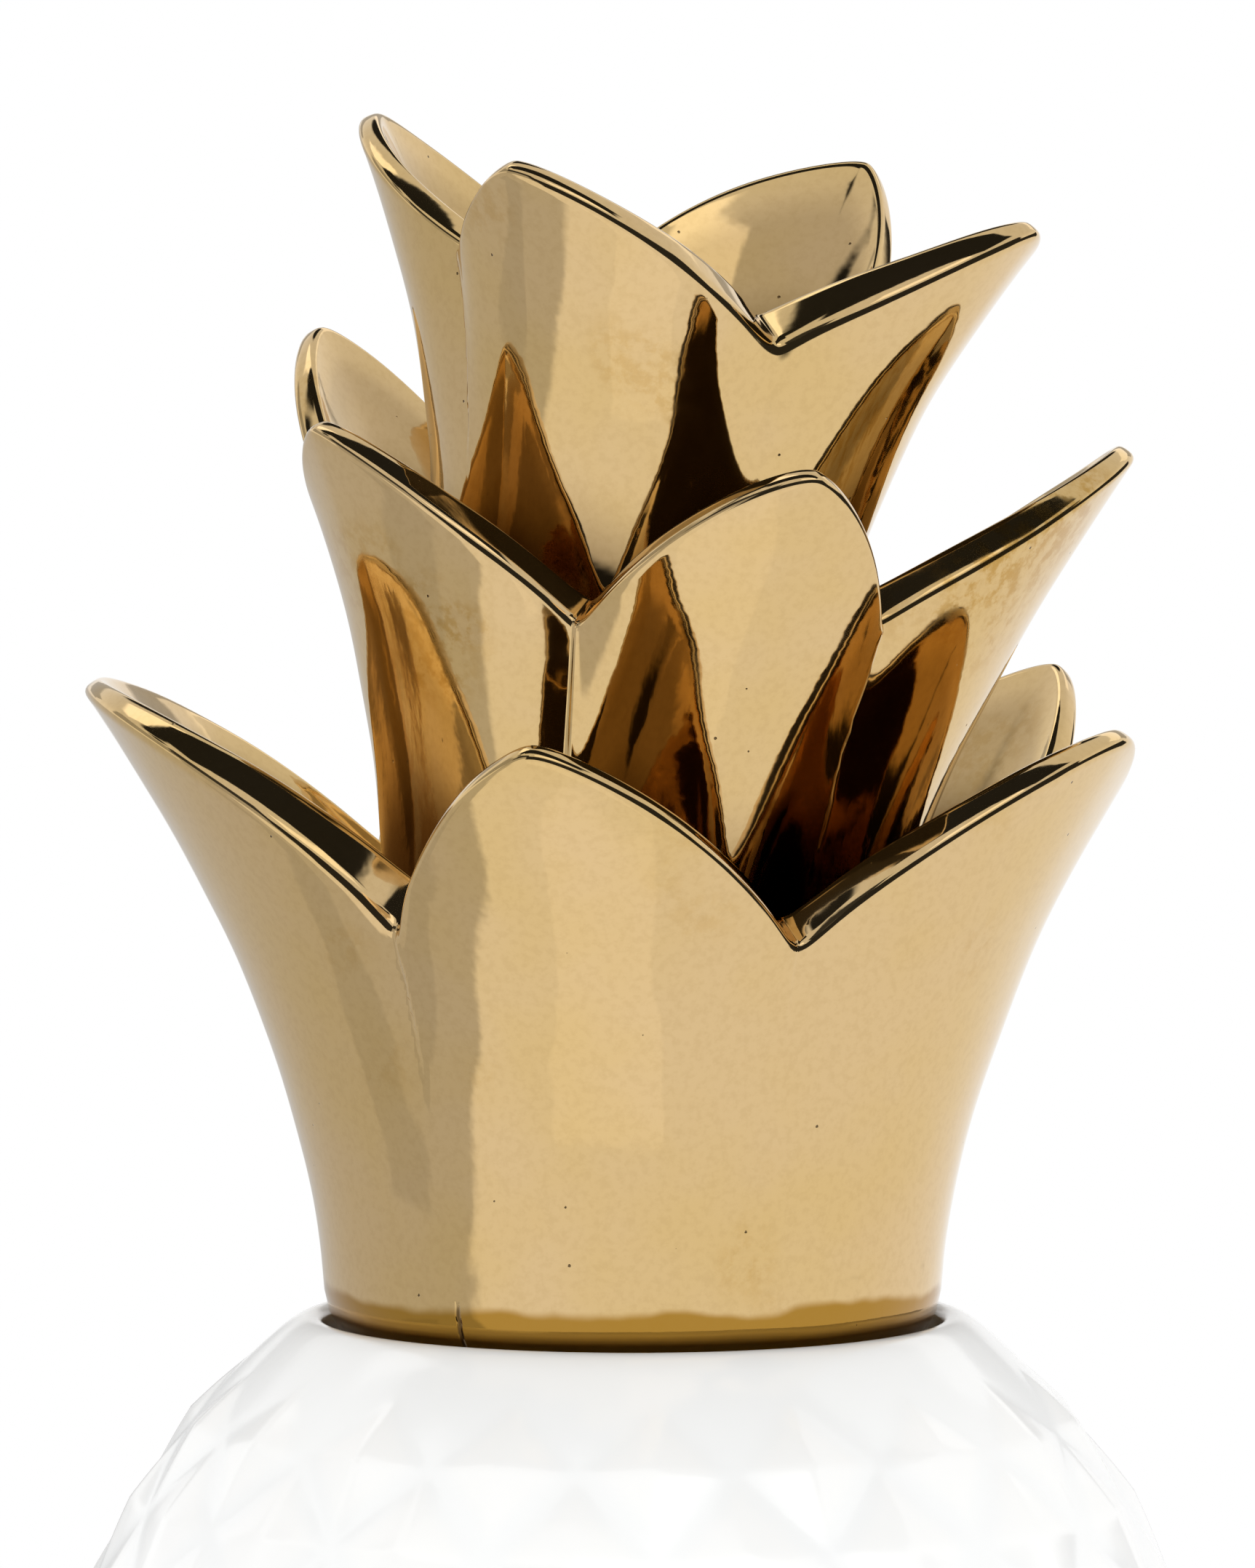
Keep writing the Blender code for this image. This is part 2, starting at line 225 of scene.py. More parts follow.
TOP = Tier(
    root=0.193, lean=9.0, radius=0.0200, reach=0.0116, height=0.038, flare=1.75,
    cup=0.0055, keel=0.40, fold_foot=0.30,
    leaves=[Leaf(-32, 0.0416, 1.11, 24, 0.0300), Leaf(70, 0.0426, 1.06, 128, 0.0290),
            Leaf(151, 0.0439, 0.99, 205, 0.0290), Leaf(256, 0.0422, 1.04, 305, 0.0324)],
    cuts=[Cut(0.0066, 0.22, 0.08, 1.8, 1.0, 0.0), Cut(0.0032, -0.10, -0.10, 1.5, 1.5, 0.0),
          Cut(0.0032, -0.10, -0.10, 1.5, 1.5, 0.0), Cut(0.0034, -0.10, -0.10, 1.5, 1.5, 0.0)])
for name, tier in (("low", LOW), ("middle", MIDDLE), ("top", TOP)):
    print(name, "tier:", len(tier.tips), "leaves, tips at", np.round(1000 * (tier.root + tier.tips), 1), "mm")

# %% [markdown]
# ## The crown as one skin
#
# The real crown was cast in one mould, so it has no seams between its tiers. The mesh is made the same way:
# rings of points run from the middle of the hollow underneath, out over the base, up the outer face of the
# low tier, over its rim, down its inner face, and on over the next tiers to the floor of the top one.

# %% Lay rings over one tier
def rim_rings(tier, bearing, rows):
    """Over the rim: round the outer corner of its edge, then round the inner one."""
    edge = tier.rim_edge(bearing)
    wall, rounding, outer, inner = tier.rim_profile(bearing)
    across, up = tier.normal(bearing, edge)
    slant = np.hypot(wall, inner - outer)
    toward = np.stack([-wall / slant, (inner - outer) / slant])
    corners = [np.stack([0.0 * wall, outer]), np.stack([-wall, inner])]
    sides = [(corners[0] - np.stack([0.0 * wall, rounding]), corners[0] + toward * rounding),
             (corners[1] - toward * rounding, corners[1] - np.stack([0.0 * wall, rounding]))]
    rings = []
    for corner, (start, end) in zip(corners, sides):
        for share in np.linspace(0.0, 1.0, rows):
            out, over = (1 - share) ** 2 * start + 2 * share * (1 - share) * corner + share**2 * end
            radius = tier.outside(bearing, edge) + out * across - over * up
            rings.append(tier.ring(bearing, radius, edge + out * up + over * across))
    return rings


def tier_rings(tier, columns, foot, floor, outer_rows, inner_rows):
    """Up the tier's outer face from its foot, over its rim and down its inner face to its floor."""
    rings = []
    for share in np.linspace(0.0, 1.0, outer_rows):
        bearing = tier.bearings(columns, share)
        height = foot + share * (tier.rim_edge(bearing) - foot)
        rings.append(tier.ring(bearing, tier.outside(bearing, height), height))
    rings += rim_rings(tier, tier.bearings(columns, 1.0), RIM_ROWS)
    for share in np.linspace(1.0, 0.0, inner_rows):
        bearing = tier.bearings(columns, share)
        height = floor + share * (tier.rim_edge(bearing) - floor)
        wall = FLOOR_WALL + share * (tier.wall_at_rim(bearing) - FLOOR_WALL)
        across, up = tier.normal(bearing, height)
        rings.append(tier.ring(bearing, tier.outside(bearing, height) - wall * across, height - wall * up))
    return rings


# %% Round off a path's corners
def bend(start, corner, end, steps):
    """Points on the curve that leaves start towards corner and comes into end from it."""
    share = np.linspace(0.0, 1.0, steps)[:, None]
    start, corner, end = np.array(start), np.array(corner), np.array(end)
    return (1 - share) ** 2 * start + 2 * share * (1 - share) * corner + share**2 * end


def rounded(corners, steps=5):
    """A path of (radius, height, rounding) corners as points, each corner rounded off by its own length."""
    points = [corners[0][:2]]
    for before, (x, z, rounding), after in zip(corners, corners[1:], corners[2:]):
        corner = np.array([x, z])
        back = np.array(before[:2]) - corner
        on = np.array(after[:2]) - corner
        start = corner + back / np.hypot(*back) * rounding
        end = corner + on / np.hypot(*on) * rounding
        points.extend(bend(start, corner, end, steps))
    points.append(corners[-1][:2])
    return np.array(points)


# %% The hollow, the flange and the base
MOUTH_RADIUS = 0.0296
SEAT_HEIGHT = 0.1205
BASE_BOTTOM = SEAT_HEIGHT + 0.0003
BASE_TUCK_TOP = 0.131
FLANGE_RADIUS = 0.0242
FLANGE_WALL = 0.0035
FLANGE_BOTTOM = 0.113

# Hollow under the crown: radius, height and rounding, in the middle tier's frame and then in the jar's
HIGH_HOLLOW = [(0.0, 0.0310, 0.0), (0.0070, 0.0300, 0.003), (0.0130, 0.0275, 0.002),
               (0.0155, 0.0235, 0.002), (0.0160, 0.0190, 0.001), (0.0190, 0.0140, 0.001),
               (0.0192, 0.0, 0.002), (0.0215, -0.0055, 0.001), (0.0228, -0.0080, 0.0)]
LOW_HOLLOW = [(0.0240, 0.1500, 0.001), (0.0245, 0.1445, 0.001), (0.0245, 0.1280, 0.001),
              (0.0232, 0.1230, 0.001)]
FLANGE_INSIDE = FLANGE_RADIUS - FLANGE_WALL
BASE = [(FLANGE_INSIDE, BASE_BOTTOM + 0.001, 0.001), (FLANGE_INSIDE, FLANGE_BOTTOM, 0.001),
        (FLANGE_RADIUS, FLANGE_BOTTOM, 0.001), (FLANGE_RADIUS, BASE_BOTTOM + 0.0012, 0.0006),
        (0.0291, BASE_BOTTOM + 0.0022, 0.0046)]


def lid_underside(even):
    """Rings from the middle of the hollow, down inside the crown, round the flange and up to the low tier."""
    high = rounded(HIGH_HOLLOW, 3)
    rings = [MIDDLE.ring(np.zeros(1), np.zeros(1), high[0][1])]
    rings += [MIDDLE.ring(even, radius, height) for radius, height in high[1:-1]]
    tuck = (LOW.outside(np.zeros(1), BASE_TUCK_TOP - LOW.root)[0], BASE_TUCK_TOP, 0.0)
    low = rounded(LOW_HOLLOW + BASE + [tuck], 5)
    for radius, height in low[:-1]:
        rings.append(LOW.ring(even, radius, height - LOW.root))
    return rings


print("underside:", len(lid_underside(LOW.bearings(60, 0.0))), "rings")

# %% Join the tiers
CROWN_COLUMNS = 360
# Rings up a tier's outer face, down its inner face, and over each corner of its rim
LOW_ROWS = (42, 22)
MIDDLE_ROWS = (32, 18)
TOP_ROWS = (26, 22)
RIM_ROWS = 6
TROUGH_ROWS = 3
LOW_FLOOR = 0.0315
MIDDLE_FLOOR = 0.0245
CUP_FLOOR = 0.0080
MIDDLE_FOOT = -0.0035
TOP_FOOT = -0.0050
TROUGH_DIP = 0.0010
# The dish inside the top tier: radius and depth of its rings, down to the depth of its middle
CUP_DISH = [(0.0150, 0.0006), (0.0110, 0.0012), (0.0060, 0.0017)]
CUP_DEPTH = 0.0020


def trough(above, below):
    """Rings across the round bottom of the trough between two tiers."""
    dip = np.array([0.0, 0.0, 2.0 * TROUGH_DIP])
    corner = 0.5 * (above + below) - dip
    shares = np.linspace(0.0, 1.0, TROUGH_ROWS + 2)[1:-1]
    return [(1 - s) ** 2 * above + 2 * s * (1 - s) * corner + s**2 * below for s in shares]


def crown_rings(columns):
    rings = lid_underside(LOW.bearings(columns, 0.0))
    low = tier_rings(LOW, columns, BASE_TUCK_TOP - LOW.root, LOW_FLOOR, *LOW_ROWS)
    middle = tier_rings(MIDDLE, columns, MIDDLE_FOOT, MIDDLE_FLOOR, *MIDDLE_ROWS)
    top = tier_rings(TOP, columns, TOP_FOOT, CUP_FLOOR, *TOP_ROWS)
    rings += low + trough(low[-1], middle[0])
    rings += middle + trough(middle[-1], top[0])
    rings += top
    for radius, depth in CUP_DISH:
        rings.append(TOP.ring(TOP.bearings(columns, 0.0), np.full(columns, radius), CUP_FLOOR - depth))
    rings.append(TOP.ring(np.zeros(1), np.zeros(1), CUP_FLOOR - CUP_DEPTH))
    return rings


def fall(value, low, high):
    """1 up to low, 0 from high on, and smooth between them."""
    share = np.clip((value - low) / (high - low), 0.0, 1.0)
    return 1.0 - share**2 * (3.0 - 2.0 * share)


def trough_shade_shares():
    """For each ring, how much painted shade it gets for lying deep in a trough, from 0 in the open to 1 at
    the bottom.
    """
    shares = [0.0] * len(lid_underside(np.zeros(1)))
    tiers = ((LOW_ROWS, 0.0, TROUGH_ROWS), (MIDDLE_ROWS, 1.0, TROUGH_ROWS),
             (TOP_ROWS, 1.0, len(CUP_DISH) + 1))
    for (outer_rows, inner_rows), in_trough, floor_rows in tiers:
        shares += list(in_trough * fall(np.linspace(0.0, 1.0, outer_rows), 0.10, 0.45))
        shares += [0.0] * (2 * RIM_ROWS)
        down = np.linspace(0.0, 1.0, inner_rows)
        shares += list(1.0 - 0.35 * fall(down, 0.02, 0.15) - 0.65 * fall(down, 0.30, 0.60))
        shares += [1.0] * floor_rows
    return shares


crown_path = crown_rings(CROWN_COLUMNS)
crown_trough_shade = trough_shade_shares()
print("crown:", len(crown_path), "rings of", CROWN_COLUMNS, "points;", len(crown_trough_shade), "shares")

# %% [markdown]
# ## From rings to a mesh
#
# A skin through rings is a grid of four-sided faces, closed by a fan at either end. The casting is never
# true: shallow waves run over it, up to two tenths of a millimetre deep and a finger's width apart. A
# mirror finish shows them at once, because they bend every reflection, so they are real moves of the points
# along their normals. They come from a sum of sine waves in fixed random directions.

# %% Skin the rings and wave the surface
def skin(name, rings):
    """One closed mesh through the rings; a ring of one point is a pole."""
    mesh = bpy.data.meshes.new(name)
    bm = bmesh.new()
    rows = [[bm.verts.new(point) for point in ring] for ring in rings]
    for above, below in zip(rows, rows[1:]):
        count = max(len(above), len(below))
        for column in range(count):
            beside = (column + 1) % count
            if len(above) == 1:
                bm.faces.new([above[0], below[column], below[beside]])
            elif len(below) == 1:
                bm.faces.new([above[column], below[0], above[beside]])
            else:
                bm.faces.new([above[column], below[column], below[beside], above[beside]])
    bmesh.ops.recalc_face_normals(bm, faces=bm.faces)
    bm.to_mesh(mesh)
    bm.free()
    mesh.shade_smooth()
    thing = bpy.data.objects.new(name, mesh)
    bpy.context.scene.collection.objects.link(thing)
    return thing


def wave_surface(thing, depth, length, seed, waves=14):
    """Moves each point along its normal by a smooth random wave of about this depth and length."""
    count = len(thing.data.vertices)
    points = np.zeros(3 * count)
    normals = np.zeros(3 * count)
    thing.data.vertices.foreach_get("co", points)
    thing.data.vertices.foreach_get("normal", normals)
    points, normals = points.reshape(-1, 3), normals.reshape(-1, 3)
    chance = np.random.default_rng(seed)
    wave = np.zeros(count)
    for _ in range(waves):
        direction = chance.normal(size=3)
        direction /= np.linalg.norm(direction)
        size = length * chance.uniform(0.7, 1.6)
        wave += np.sin(points @ direction * 2 * np.pi / size + chance.uniform(0, 2 * np.pi))
    wave *= depth / np.sqrt(waves)
    thing.data.vertices.foreach_set("co", (points + normals * wave[:, None]).ravel())
    thing.data.update()
    return np.abs(wave).max()


crown = skin("lustre_crown", crown_path)
# The hollow attribute carries painted shade: the gold is darkened deep in the troughs between the tiers
hollow = np.concatenate([np.full(len(ring), share) for ring, share in zip(crown_path, crown_trough_shade)])
crown.data.attributes.new("hollow", "FLOAT", "POINT").data.foreach_set("value", hollow)
deepest = wave_surface(crown, 0.00008, 0.016, seed=4)
print("crown:", len(crown.data.polygons), "faces; deepest wave", round(1000 * deepest, 2), "mm")

# %% [markdown]
# ## The jar as a rule
#
# The jar is round, and its net of diamonds follows a rule, so Geometry Nodes can make it whole. The script
# draws only the section, half the jar cut down its middle, as a line of points. The node tree lays a grid
# round it, one column of the grid for each bearing, and lifts each point by how far it stands inside its
# diamond. Two slanting coordinates do this: one grows up to the right and the other up to the left, and a
# diamond is a square in them. The distance to the nearer side of the square is the height of a four-sided
# pyramid. The diamonds are 0.4 mm lower than the solid's, because the photograph's are faint.

# %% The jar's sizes
BELLY_RADIUS = 0.0588
BELLY_HEIGHT = 0.065
SHOULDER_RISE = 0.0715
BELLY_DROP = 0.084
RIM_HEIGHT = 0.125
NECK_RADIUS = 0.025
NECK_BOTTOM = 0.1165
JAR_WALL = 0.0045
FOOT_RADIUS = 0.036
FOOT_INNER_RADIUS = 0.031
FOOT_RECESS = 0.0018
JAR_FLOOR = 0.006
INSIDE_BOTTOM = 0.012
INSIDE_TOP = 0.1145
LIP_ROUNDING = 0.0012
LIP_OUTER_RADIUS = 0.0321
SHOULDER_TOP = 0.1232
DIAMONDS_AROUND = 18
DIAMOND_ROWS = 12
DIAMOND_TOP = 0.121
DIAMOND_BOTTOM = 0.003
DIAMOND_RELIEF = 0.0010
DIAMOND_BEARING = 3.0


def outline(height):
    """Radius of the jar's outer face, a quarter ellipse above the belly and another below it."""
    reach = np.where(height > BELLY_HEIGHT, SHOULDER_RISE, BELLY_DROP)
    return BELLY_RADIUS * np.sqrt(1.0 - ((height - BELLY_HEIGHT) / reach) ** 2)


def outline_normal(height):
    reach = np.where(height > BELLY_HEIGHT, SHOULDER_RISE, BELLY_DROP)
    across = outline(height) / BELLY_RADIUS**2
    up = (height - BELLY_HEIGHT) / reach**2
    size = np.hypot(across, up)
    return across / size, up / size


def outline_heights(top, bottom, count):
    """Heights that cut the outline into lengths in proportion to its radius, so diamonds keep their shape."""
    fine = np.linspace(top, bottom, 400)
    radii = outline(fine)
    length = np.hypot(np.diff(radii), np.diff(fine))
    along = np.concatenate([[0.0], np.cumsum(2.0 * length / (radii[1:] + radii[:-1]))])
    return np.interp(np.linspace(0.0, along[-1], count), along, fine)


print("widest", 2000 * BELLY_RADIUS, "mm; at the rim", round(2000 * float(outline(RIM_HEIGHT)), 1), "mm")

# %% Draw the jar's section
COLUMNS_PER_DIAMOND = 18
ROWS_PER_DIAMOND_ROW = 14


def jar_section():
    """Radius, height, diamond row and share of the relief of each point, from over the floor to under it."""
    points = []

    def go(path, row=0.0, raised=0.0):
        points.extend((radius, height, row, raised) for radius, height in path)

    inside = outline_heights(INSIDE_BOTTOM, INSIDE_TOP, 24)
    across, up = outline_normal(inside)
    wall = list(zip(outline(inside) - JAR_WALL * across, inside - JAR_WALL * up))
    go([(0.0, JAR_FLOOR), (0.012, JAR_FLOOR), (0.024, JAR_FLOOR)])
    go(bend((0.029, JAR_FLOOR), (0.0345, JAR_FLOOR), wall[0], 6)[:-1])
    go(wall)
    mouth = [(*wall[-1], 0.0), (NECK_RADIUS, NECK_BOTTOM, 0.001), (NECK_RADIUS, SEAT_HEIGHT, 0.0006),
             (MOUTH_RADIUS, SEAT_HEIGHT, 0.0008), (MOUTH_RADIUS, RIM_HEIGHT - LIP_ROUNDING, 0.0)]
    go(rounded(mouth, 6)[1:])
    lip = (MOUTH_RADIUS + LIP_ROUNDING, RIM_HEIGHT)
    go(bend((MOUTH_RADIUS, RIM_HEIGHT - LIP_ROUNDING), (MOUTH_RADIUS, RIM_HEIGHT), lip, 7)[1:])
    shoulder = (float(outline(SHOULDER_TOP)), SHOULDER_TOP)
    go(bend(lip, (LIP_OUTER_RADIUS, RIM_HEIGHT), shoulder, 9)[1:])
    go([(float(outline(height)), height) for height in (0.1226, 0.1220, 0.1215)])
    belt = outline_heights(DIAMOND_TOP, DIAMOND_BOTTOM, DIAMOND_ROWS * ROWS_PER_DIAMOND_ROW + 1)
    for step, height in enumerate(belt):
        points.append((float(outline(height)), height, step / ROWS_PER_DIAMOND_ROW, 1.0))
    foot = [(float(outline(DIAMOND_BOTTOM)), DIAMOND_BOTTOM, 0.0), (FOOT_RADIUS + 0.0008, 0.0, 0.0008),
            (FOOT_INNER_RADIUS, 0.0, 0.0008), (FOOT_INNER_RADIUS - 0.001, FOOT_RECESS, 0.0006),
            (0.0, FOOT_RECESS, 0.0)]
    go(rounded(foot, 6)[1:])
    return np.array(points)


section = jar_section()
print("section:", len(section), "points")

# %% Keep the section as a mesh with its own attributes
def section_mesh(section):
    mesh = bpy.data.meshes.new("jar section")
    corners = [(radius, 0.0, height) for radius, height in section[:, :2]]
    mesh.from_pydata(corners, [(i, i + 1) for i in range(len(corners) - 1)], [])
    across, up = outline_normal(np.clip(section[:, 1], DIAMOND_BOTTOM, DIAMOND_TOP))
    outward = np.stack([across, np.zeros(len(section)), up], axis=1)
    mesh.attributes.new("outward", "FLOAT_VECTOR", "POINT").data.foreach_set("vector", outward.ravel())
    mesh.attributes.new("diamond_row", "FLOAT", "POINT").data.foreach_set("value", section[:, 2])
    mesh.attributes.new("raised", "FLOAT", "POINT").data.foreach_set("value", section[:, 3])
    return mesh


jar_outline = bpy.data.objects.new("jar outline", section_mesh(section))
bpy.context.scene.collection.objects.link(jar_outline)
print("attributes:", [a.name for a in jar_outline.data.attributes])

# %% Helpers for building node trees
def make(tree, kind, **settings):
    """Adds a node; each setting is one of its properties."""
    node = tree.nodes.new(kind)
    for name, value in settings.items():
        setattr(node, name, value)
    return node


def feed(tree, node, **inputs):
    """Gives a node's inputs, named or numbered as in_0, a socket to read or a value to keep."""
    for name, value in inputs.items():
        key = int(name[3:]) if name.startswith("in_") else name.replace("_", " ")
        if isinstance(value, bpy.types.NodeSocket):
            tree.links.new(value, node.inputs[key])
        else:
            node.inputs[key].default_value = value
    return node


def sum_up(tree, operation, *terms, kind="ShaderNodeMath"):
    """One Math node's result on up to three numbers or sockets."""
    node = make(tree, kind, operation=operation)
    feed(tree, node, **{f"in_{i}": term for i, term in enumerate(terms)})
    return node.outputs[0]


# %% Build the jar's node tree
def lift_in_diamond(tree, around, row, rows, ridge, valley):
    """How high a point stands in its diamond, 0 in a valley to 1 at the point; half diamonds are left out."""
    half_row = sum_up(tree, "MULTIPLY", row, 0.5)
    from_side = []
    cells = []
    for operation in ("ADD", "SUBTRACT"):
        slant = sum_up(tree, operation, around, half_row)
        cells.append(sum_up(tree, "FLOOR", slant))
        from_middle = sum_up(tree, "SUBTRACT", sum_up(tree, "FRACT", slant), 0.5)
        from_side.append(sum_up(tree, "ABSOLUTE", from_middle))
    middle_row = sum_up(tree, "SUBTRACT", cells[0], cells[1])
    whole = sum_up(tree, "MULTIPLY", sum_up(tree, "GREATER_THAN", middle_row, 0.5),
                   sum_up(tree, "LESS_THAN", middle_row, sum_up(tree, "SUBTRACT", rows, 0.5)))
    further = sum_up(tree, "SMOOTH_MAX", from_side[0], from_side[1], ridge)
    height = sum_up(tree, "MAXIMUM", sum_up(tree, "MULTIPLY_ADD", further, -2.0, 1.0), 0.0)
    softened = sum_up(tree, "MULTIPLY_ADD", height, height, sum_up(tree, "MULTIPLY", valley, valley))
    bowed = sum_up(tree, "SQRT", softened)
    return sum_up(tree, "MULTIPLY", whole, sum_up(tree, "SUBTRACT", bowed, valley))


def jar_tree():
    tree = bpy.data.node_groups.new("Lay a jar round its section", "GeometryNodeTree")
    for name, kind in (("Section", "Geometry"), ("Columns", "Int"), ("Diamonds Around", "Int"),
                       ("Diamond Rows", "Int"), ("First Bearing", "Float"), ("Relief", "Float"),
                       ("Ridge Softness", "Float"), ("Valley Softness", "Float"), ("Glaze", "Material")):
        tree.interface.new_socket(name, in_out="INPUT", socket_type=f"NodeSocket{kind}")
    tree.interface.new_socket("Jar", in_out="OUTPUT", socket_type="NodeSocketGeometry")
    given = make(tree, "NodeGroupInput").outputs
    size = make(tree, "GeometryNodeAttributeDomainSize", component="MESH")
    feed(tree, size, Geometry=given["Section"])
    grid = make(tree, "GeometryNodeMeshGrid")
    columns = sum_up(tree, "ADD", given["Columns"], 1)
    feed(tree, grid, Vertices_X=columns, Vertices_Y=size.outputs["Point Count"])
    index = make(tree, "GeometryNodeInputIndex").outputs[0]
    column = sum_up(tree, "DIVIDE", index, size.outputs["Point Count"], kind="FunctionNodeIntegerMath")
    along = sum_up(tree, "MODULO", index, size.outputs["Point Count"], kind="FunctionNodeIntegerMath")

    def read(name, data_type):
        if name:
            value = make(tree, "GeometryNodeInputNamedAttribute", data_type=data_type)
            feed(tree, value, Name=name)
        else:
            value = make(tree, "GeometryNodeInputPosition")
        sample = make(tree, "GeometryNodeSampleIndex", data_type=data_type, domain="POINT")
        feed(tree, sample, Geometry=given["Section"], Value=value.outputs[0], Index=along)
        return sample.outputs[0]

    share = sum_up(tree, "DIVIDE", column, given["Columns"])
    around = sum_up(tree, "MULTIPLY", share, given["Diamonds Around"])
    lift = lift_in_diamond(tree, around, read("diamond_row", "FLOAT"), given["Diamond Rows"],
                           given["Ridge Softness"], given["Valley Softness"])
    lift = sum_up(tree, "MULTIPLY", lift, read("raised", "FLOAT"))
    depth = sum_up(tree, "MULTIPLY", lift, given["Relief"])
    outward = make(tree, "ShaderNodeVectorMath", operation="SCALE")
    feed(tree, outward, in_0=read("outward", "FLOAT_VECTOR"), Scale=depth)
    raised = make(tree, "ShaderNodeVectorMath", operation="ADD")
    feed(tree, raised, in_0=read("", "FLOAT_VECTOR"), in_1=outward.outputs[0])
    turn = make(tree, "ShaderNodeVectorRotate", rotation_type="Z_AXIS")
    bearing = sum_up(tree, "MULTIPLY_ADD", share, 360.0, given["First Bearing"])
    angle = sum_up(tree, "RADIANS", sum_up(tree, "SUBTRACT", bearing, 90.0))
    feed(tree, turn, Vector=raised.outputs[0], Angle=angle)
    place = make(tree, "GeometryNodeSetPosition")
    feed(tree, place, Geometry=grid.outputs["Mesh"], Position=turn.outputs[0])
    keep = make(tree, "GeometryNodeStoreNamedAttribute", data_type="FLOAT", domain="POINT")
    feed(tree, keep, Geometry=place.outputs[0], Name="lift", Value=lift)
    close = make(tree, "GeometryNodeMergeByDistance")
    feed(tree, close, Geometry=keep.outputs[0], Distance=0.000002)
    real = make(tree, "GeometryNodeRealizeInstances")
    feed(tree, real, Geometry=close.outputs[0])
    coat = make(tree, "GeometryNodeSetMaterial")
    feed(tree, coat, Geometry=real.outputs[0], Material=given["Glaze"])
    tree.links.new(coat.outputs[0], make(tree, "NodeGroupOutput").inputs[0])
    return tree


print("jar tree:", len(jar_tree().nodes), "nodes")

# %% [markdown]
# ## White glaze
#
# The jar is white clay under a clear glaze. The glaze is a glass coat, so it belongs on the shader's coat,
# over a rougher white body. The body isn't one flat white: the glaze is thinner and a little whiter on the
# ridges of the diamonds and pools, faintly cooler, in the valleys, which the jar's own lift attribute
# tells. Tiny specks and a soft orange-peel surface come from noise at the size they have on real ware.

# %% A material, and the helpers that its textures share
def new_material(name, colour, **settings):
    """A material with one shader; each setting is one of the shader's inputs."""
    material = bpy.data.materials.new(name)
    material.use_nodes = True
    material.diffuse_color = (*colour, 1.0)
    tree = material.node_tree
    shader = tree.nodes["Principled BSDF"]
    shader.inputs["Base Color"].default_value = (*colour, 1.0)
    feed(tree, shader, **settings)
    return material, tree, shader


def noise(tree, size, detail=2.0, roughness=0.5):
    """Smooth noise from 0 to 1 whose patches are about this many metres across."""
    place = make(tree, "ShaderNodeTexCoord").outputs["Object"]
    node = make(tree, "ShaderNodeTexNoise")
    feed(tree, node, Vector=place, Scale=1.0 / size, Detail=detail, Roughness=roughness)
    return node.outputs["Fac"]


def spread(tree, value, low, high, to_low, to_high, smooth=True):
    """Maps low..high to to_low..to_high and holds it beyond them."""
    node = make(tree, "ShaderNodeMapRange", interpolation_type="SMOOTHSTEP" if smooth else "LINEAR")
    feed(tree, node, Value=value, From_Min=low, From_Max=high, To_Min=to_low, To_Max=to_high)
    return node.outputs["Result"]


def blend_colours(tree, share, first, second):
    node = make(tree, "ShaderNodeMix", data_type="RGBA")
    feed(tree, node, Factor=share)
    for socket, colour in ((node.inputs[6], first), (node.inputs[7], second)):
        if isinstance(colour, bpy.types.NodeSocket):
            tree.links.new(colour, socket)
        else:
            socket.default_value = (*colour, 1.0)
    return node.outputs[2]


def tinted(tree, colour, mask, strength, tint):
    """The colour with a tint mixed in where the mask is, up to this strength."""
    return blend_colours(tree, sum_up(tree, "MULTIPLY", mask, strength), colour, tint)


def specks(tree, spacing, size, kept):
    """1 inside small round specks that stand about this far apart; only a share of the places has one."""
    place = make(tree, "ShaderNodeTexCoord").outputs["Object"]
    cells = make(tree, "ShaderNodeTexVoronoi")
    feed(tree, cells, Vector=place, Scale=1.0 / spacing)
    inside = spread(tree, cells.outputs["Distance"], 0.6 * size / spacing, size / spacing, 1.0, 0.0)
    chance = make(tree, "ShaderNodeSeparateColor")
    feed(tree, chance, Color=cells.outputs["Color"])
    return sum_up(tree, "MULTIPLY", inside, sum_up(tree, "LESS_THAN", chance.outputs[0], kept))


def around_point(tree, middle, size):
    """1 at a place on the piece, falling unevenly to 0 at about this many metres from it."""
    apart = make(tree, "ShaderNodeVectorMath", operation="DISTANCE")
    feed(tree, apart, in_0=make(tree, "ShaderNodeTexCoord").outputs["Object"])
    apart.inputs[1].default_value = middle
    wander = sum_up(tree, "MULTIPLY_ADD", noise(tree, 0.006, 3.0), size, apart.outputs["Value"])
    return spread(tree, wander, 0.9 * size, 1.5 * size, 1.0, 0.0)


def seam(tree, axes, at, top, breadth):
    """1 along a mould seam that runs up from the foot at a bearing, falling to 0 beside and above it."""
    x, y, z = axes
    bearing = sum_up(tree, "DEGREES", sum_up(tree, "ARCTAN2", x, sum_up(tree, "MULTIPLY", y, -1.0)))
    wavering = sum_up(tree, "MULTIPLY_ADD", noise(tree, 0.003, 2.0), 1.6, bearing)
    beside = sum_up(tree, "ABSOLUTE", sum_up(tree, "SUBTRACT", wavering, at))
    line = spread(tree, beside, 0.3 * breadth, breadth, 1.0, 0.0)
    return sum_up(tree, "MULTIPLY", line, spread(tree, z, top - 0.0012, top, 1.0, 0.0))


def bump(tree, height, distance, strength=1.0, under=None):
    node = make(tree, "ShaderNodeBump")
    feed(tree, node, Height=height, Distance=distance, Strength=strength)
    if under is not None:
        tree.links.new(under, node.inputs["Normal"])
    return node.outputs["Normal"]


